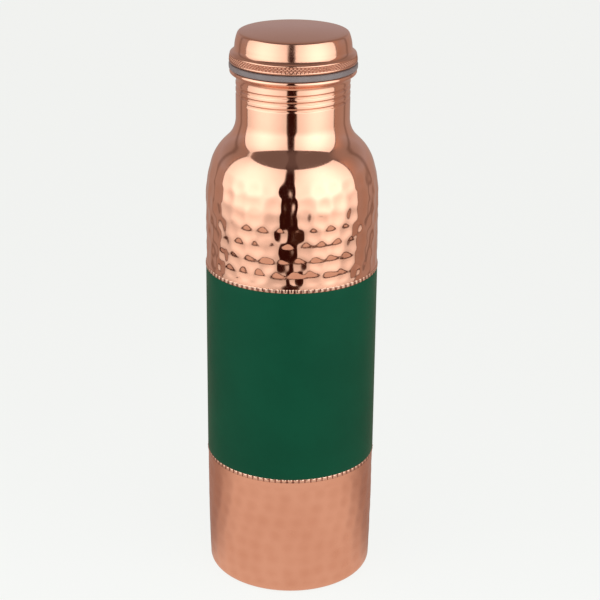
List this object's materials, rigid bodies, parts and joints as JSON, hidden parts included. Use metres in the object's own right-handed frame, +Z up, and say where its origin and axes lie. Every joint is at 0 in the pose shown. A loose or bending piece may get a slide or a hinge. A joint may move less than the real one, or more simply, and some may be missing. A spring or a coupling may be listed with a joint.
{
  "type": "copper water bottle",
  "caption": "Tall hammered copper water bottle with a narrow threaded neck, an enamelled band between two milled rings, and a screw cap on a silicone washer.",
  "frame": {"origin": "centre of the foot ring, on the surface the bottle stands on", "axes": "+Z up along the bottle's axis to the cap; -Y is the side seen first; +X to the right of it"},
  "size_m": [0.0756, 0.0756, 0.2491],
  "materials": {
    "polished_copper": "mirror-polished copper, hammered on the shoulder and wall",
    "satin_copper": "softly polished copper with shallow hammer marks",
    "drawn_copper": "plain drawn copper",
    "milled_copper": "bright milled copper",
    "braze": "as-flowed brazing alloy",
    "green_enamel": "satin baked enamel",
    "silicone": "matte moulded silicone"
  },
  "bodies": {
    "bottle": {"lower_body": "satin_copper", "upper_body": "polished_copper", "body_braze": "braze", "upper_milled_ring": "milled_copper", "lower_milled_ring": "milled_copper", "band_coat": "green_enamel"},
    "seal": {"seal_washer": "silicone"},
    "cap": {"cap_shell": "polished_copper", "cap_plug": "drawn_copper"}
  },
  "joints": [
    {"name": "cap_rise", "type": "slide", "parent": "bottle", "child": "seal", "axis": [0, 0, 1], "range_m": [0, 0.01335]},
    {"name": "cap_turn", "type": "hinge", "parent": "seal", "child": "cap", "pos_m": [0, 0, 0.235], "axis": [0, 0, 1], "range_deg": [0, 1710]}
  ],
  "couplings": [
    {"joint": "cap_rise", "follows": "cap_turn", "m_per_rad": 0.00044563}
  ]
}
